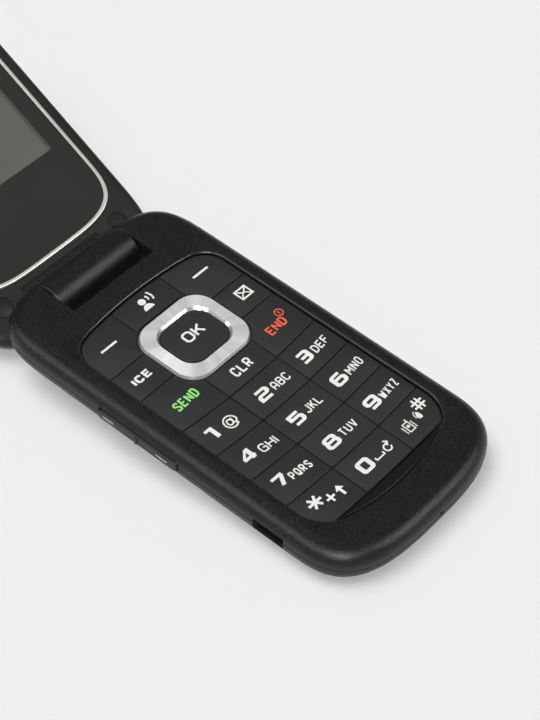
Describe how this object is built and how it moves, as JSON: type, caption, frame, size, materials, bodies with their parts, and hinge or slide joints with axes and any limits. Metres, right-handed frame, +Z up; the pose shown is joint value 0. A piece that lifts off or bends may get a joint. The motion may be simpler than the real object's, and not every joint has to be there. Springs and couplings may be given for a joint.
{
  "type": "flip phone",
  "caption": "Folding mobile phone, opened: keypad half with pressing keys, rocking navigation ring and side keys, sliding battery cover, and a hinged lid with main and outer displays.",
  "frame": {"origin": "on the surface it stands on, under the middle of the opened phone", "axes": "+Z up, +X to the right of the keypad, +Y from the keypad end towards the tip of the opened lid"},
  "size_m": [0.053, 0.1826, 0.0562],
  "materials": {
    "soft_black": "soft-touch matt black",
    "side_grey": "satin dark grey",
    "key_grey": "matt dark grey with pale printed legends",
    "silver": "satin silver with bright edges",
    "lid_grey": "fine-grained dark grey",
    "lid_shell": "gloss blue-black",
    "window": "gloss dark grey window",
    "display": "grey switched-off display",
    "board": "green solder mask",
    "metal": "bright steel",
    "rubber": "black rubber",
    "gold": "gold-plated",
    "film": "pale film",
    "battery": "dark blue label",
    "dark_plastic": "black moulding",
    "copper": "amber film"
  },
  "bodies": {
    "keypad_half": {"front_housing": "soft_black", "rear_housing": "side_grey", "battery_pack": "battery", "battery_contacts": "gold", "main_board": "board", "shield_cans": "metal", "dome_sheet": "film", "keypad_mat": "rubber", "keypad_trim": "key_grey", "charge_port": "metal", "headset_jack": "dark_plastic", "microphone": "metal", "vibration_motor": "metal", "antenna": "gold", "loudspeaker": "dark_plastic", "housing_screws": "metal", "hinge_pin": "metal"},
    "lid": {"lid_inner_housing": "lid_grey", "lid_outer_housing": "lid_shell", "lid_window": "window", "window_frame": "silver", "main_display": "display", "earpiece": "dark_plastic", "lid_board": "board", "outer_display": "display", "outer_window": "window", "camera_module": "dark_plastic", "camera_lens": "window", "screw_covers": "rubber", "lid_bumpers": "rubber", "lid_screws": "metal", "hinge_flex": "copper", "hinge_cartridge": "metal"},
    "cover": {"battery_cover": "side_grey"},
    "volume_rocker": {"volume_key": "side_grey"},
    "camera_button": {"camera_key": "side_grey"},
    "speaker_button": {"speaker_key": "side_grey"},
    "ring_carrier": {"nav_carrier": "dark_plastic"},
    "ring": {"nav_ring": "silver"},
    "button_soft_left": {"key_soft_left": "key_grey"},
    "button_voice": {"key_voice": "key_grey"},
    "button_soft_right": {"key_soft_right": "key_grey"},
    "button_ice": {"key_ice": "key_grey"},
    "button_mail": {"key_mail": "key_grey"},
    "button_send": {"key_send": "key_grey"},
    "button_clear": {"key_clear": "key_grey"},
    "button_end": {"key_end": "key_grey"},
    "button_1": {"key_1": "key_grey"},
    "button_2": {"key_2": "key_grey"},
    "button_3": {"key_3": "key_grey"},
    "button_4": {"key_4": "key_grey"},
    "button_5": {"key_5": "key_grey"},
    "button_6": {"key_6": "key_grey"},
    "button_7": {"key_7": "key_grey"},
    "button_8": {"key_8": "key_grey"},
    "button_9": {"key_9": "key_grey"},
    "button_star": {"key_star": "key_grey"},
    "button_0": {"key_0": "key_grey"},
    "button_hash": {"key_hash": "key_grey"},
    "button_ok": {"key_ok": "key_grey"}
  },
  "joints": [
    {"name": "lid_hinge", "type": "hinge", "parent": "keypad_half", "child": "lid", "pos_m": [0, 0.00479, 0.01158], "axis": [1, 0, 0], "range_deg": [0, 153.1]},
    {"name": "cover_slide", "type": "slide", "parent": "keypad_half", "child": "cover", "axis": [0, -0.9974, -0.072], "range_m": [0, 0.01]},
    {"name": "volume_rock", "type": "hinge", "parent": "keypad_half", "child": "volume_rocker", "pos_m": [-0.0252, -0.03425, 0.00866], "axis": [0, -0.072, 0.9974], "range_deg": [-1.5, 1.5], "stiffness_Nm_per_rad": 0.6},
    {"name": "camera_press", "type": "slide", "parent": "keypad_half", "child": "camera_button", "axis": [-1, 0, 0], "range_m": [0, 0.00025], "stiffness_N_per_m": 2500},
    {"name": "speaker_press", "type": "slide", "parent": "keypad_half", "child": "speaker_button", "axis": [-1, 0, 0], "range_m": [0, 0.00025], "stiffness_N_per_m": 2500},
    {"name": "press_soft_left", "type": "slide", "parent": "keypad_half", "child": "button_soft_left", "axis": [0, 0.072, -0.9974], "range_m": [0, 0.0004], "stiffness_N_per_m": 1500},
    {"name": "press_voice", "type": "slide", "parent": "keypad_half", "child": "button_voice", "axis": [0, 0.072, -0.9974], "range_m": [0, 0.0004], "stiffness_N_per_m": 1500},
    {"name": "press_soft_right", "type": "slide", "parent": "keypad_half", "child": "button_soft_right", "axis": [0, 0.072, -0.9974], "range_m": [0, 0.0004], "stiffness_N_per_m": 1500},
    {"name": "press_ice", "type": "slide", "parent": "keypad_half", "child": "button_ice", "axis": [0, 0.072, -0.9974], "range_m": [0, 0.0004], "stiffness_N_per_m": 1500},
    {"name": "press_mail", "type": "slide", "parent": "keypad_half", "child": "button_mail", "axis": [0, 0.072, -0.9974], "range_m": [0, 0.0004], "stiffness_N_per_m": 1500},
    {"name": "press_send", "type": "slide", "parent": "keypad_half", "child": "button_send", "axis": [0, 0.072, -0.9974], "range_m": [0, 0.0004], "stiffness_N_per_m": 1500},
    {"name": "press_clear", "type": "slide", "parent": "keypad_half", "child": "button_clear", "axis": [0, 0.072, -0.9974], "range_m": [0, 0.0004], "stiffness_N_per_m": 1500},
    {"name": "press_end", "type": "slide", "parent": "keypad_half", "child": "button_end", "axis": [0, 0.072, -0.9974], "range_m": [0, 0.0004], "stiffness_N_per_m": 1500},
    {"name": "press_1", "type": "slide", "parent": "keypad_half", "child": "button_1", "axis": [0, 0.072, -0.9974], "range_m": [0, 0.0004], "stiffness_N_per_m": 1500},
    {"name": "press_2", "type": "slide", "parent": "keypad_half", "child": "button_2", "axis": [0, 0.072, -0.9974], "range_m": [0, 0.0004], "stiffness_N_per_m": 1500},
    {"name": "press_3", "type": "slide", "parent": "keypad_half", "child": "button_3", "axis": [0, 0.072, -0.9974], "range_m": [0, 0.0004], "stiffness_N_per_m": 1500},
    {"name": "press_4", "type": "slide", "parent": "keypad_half", "child": "button_4", "axis": [0, 0.072, -0.9974], "range_m": [0, 0.0004], "stiffness_N_per_m": 1500},
    {"name": "press_5", "type": "slide", "parent": "keypad_half", "child": "button_5", "axis": [0, 0.072, -0.9974], "range_m": [0, 0.0004], "stiffness_N_per_m": 1500},
    {"name": "press_6", "type": "slide", "parent": "keypad_half", "child": "button_6", "axis": [0, 0.072, -0.9974], "range_m": [0, 0.0004], "stiffness_N_per_m": 1500},
    {"name": "press_7", "type": "slide", "parent": "keypad_half", "child": "button_7", "axis": [0, 0.072, -0.9974], "range_m": [0, 0.0004], "stiffness_N_per_m": 1500},
    {"name": "press_8", "type": "slide", "parent": "keypad_half", "child": "button_8", "axis": [0, 0.072, -0.9974], "range_m": [0, 0.0004], "stiffness_N_per_m": 1500},
    {"name": "press_9", "type": "slide", "parent": "keypad_half", "child": "button_9", "axis": [0, 0.072, -0.9974], "range_m": [0, 0.0004], "stiffness_N_per_m": 1500},
    {"name": "press_star", "type": "slide", "parent": "keypad_half", "child": "button_star", "axis": [0, 0.072, -0.9974], "range_m": [0, 0.0004], "stiffness_N_per_m": 1500},
    {"name": "press_0", "type": "slide", "parent": "keypad_half", "child": "button_0", "axis": [0, 0.072, -0.9974], "range_m": [0, 0.0004], "stiffness_N_per_m": 1500},
    {"name": "press_hash", "type": "slide", "parent": "keypad_half", "child": "button_hash", "axis": [0, 0.072, -0.9974], "range_m": [0, 0.0004], "stiffness_N_per_m": 1500},
    {"name": "press_ok", "type": "slide", "parent": "keypad_half", "child": "button_ok", "axis": [0, 0.072, -0.9974], "range_m": [0, 0.0004], "stiffness_N_per_m": 1500},
    {"name": "ring_up_down", "type": "hinge", "parent": "keypad_half", "child": "ring_carrier", "pos_m": [0, -0.02644, 0.01225], "axis": [1, 0, 0], "range_deg": [-1.5, 1.5], "stiffness_Nm_per_rad": 0.5},
    {"name": "ring_left_right", "type": "hinge", "parent": "ring_carrier", "child": "ring", "pos_m": [0, -0.02644, 0.01225], "axis": [0, 0.9974, 0.072], "range_deg": [-1.5, 1.5], "stiffness_Nm_per_rad": 0.5}
  ]
}
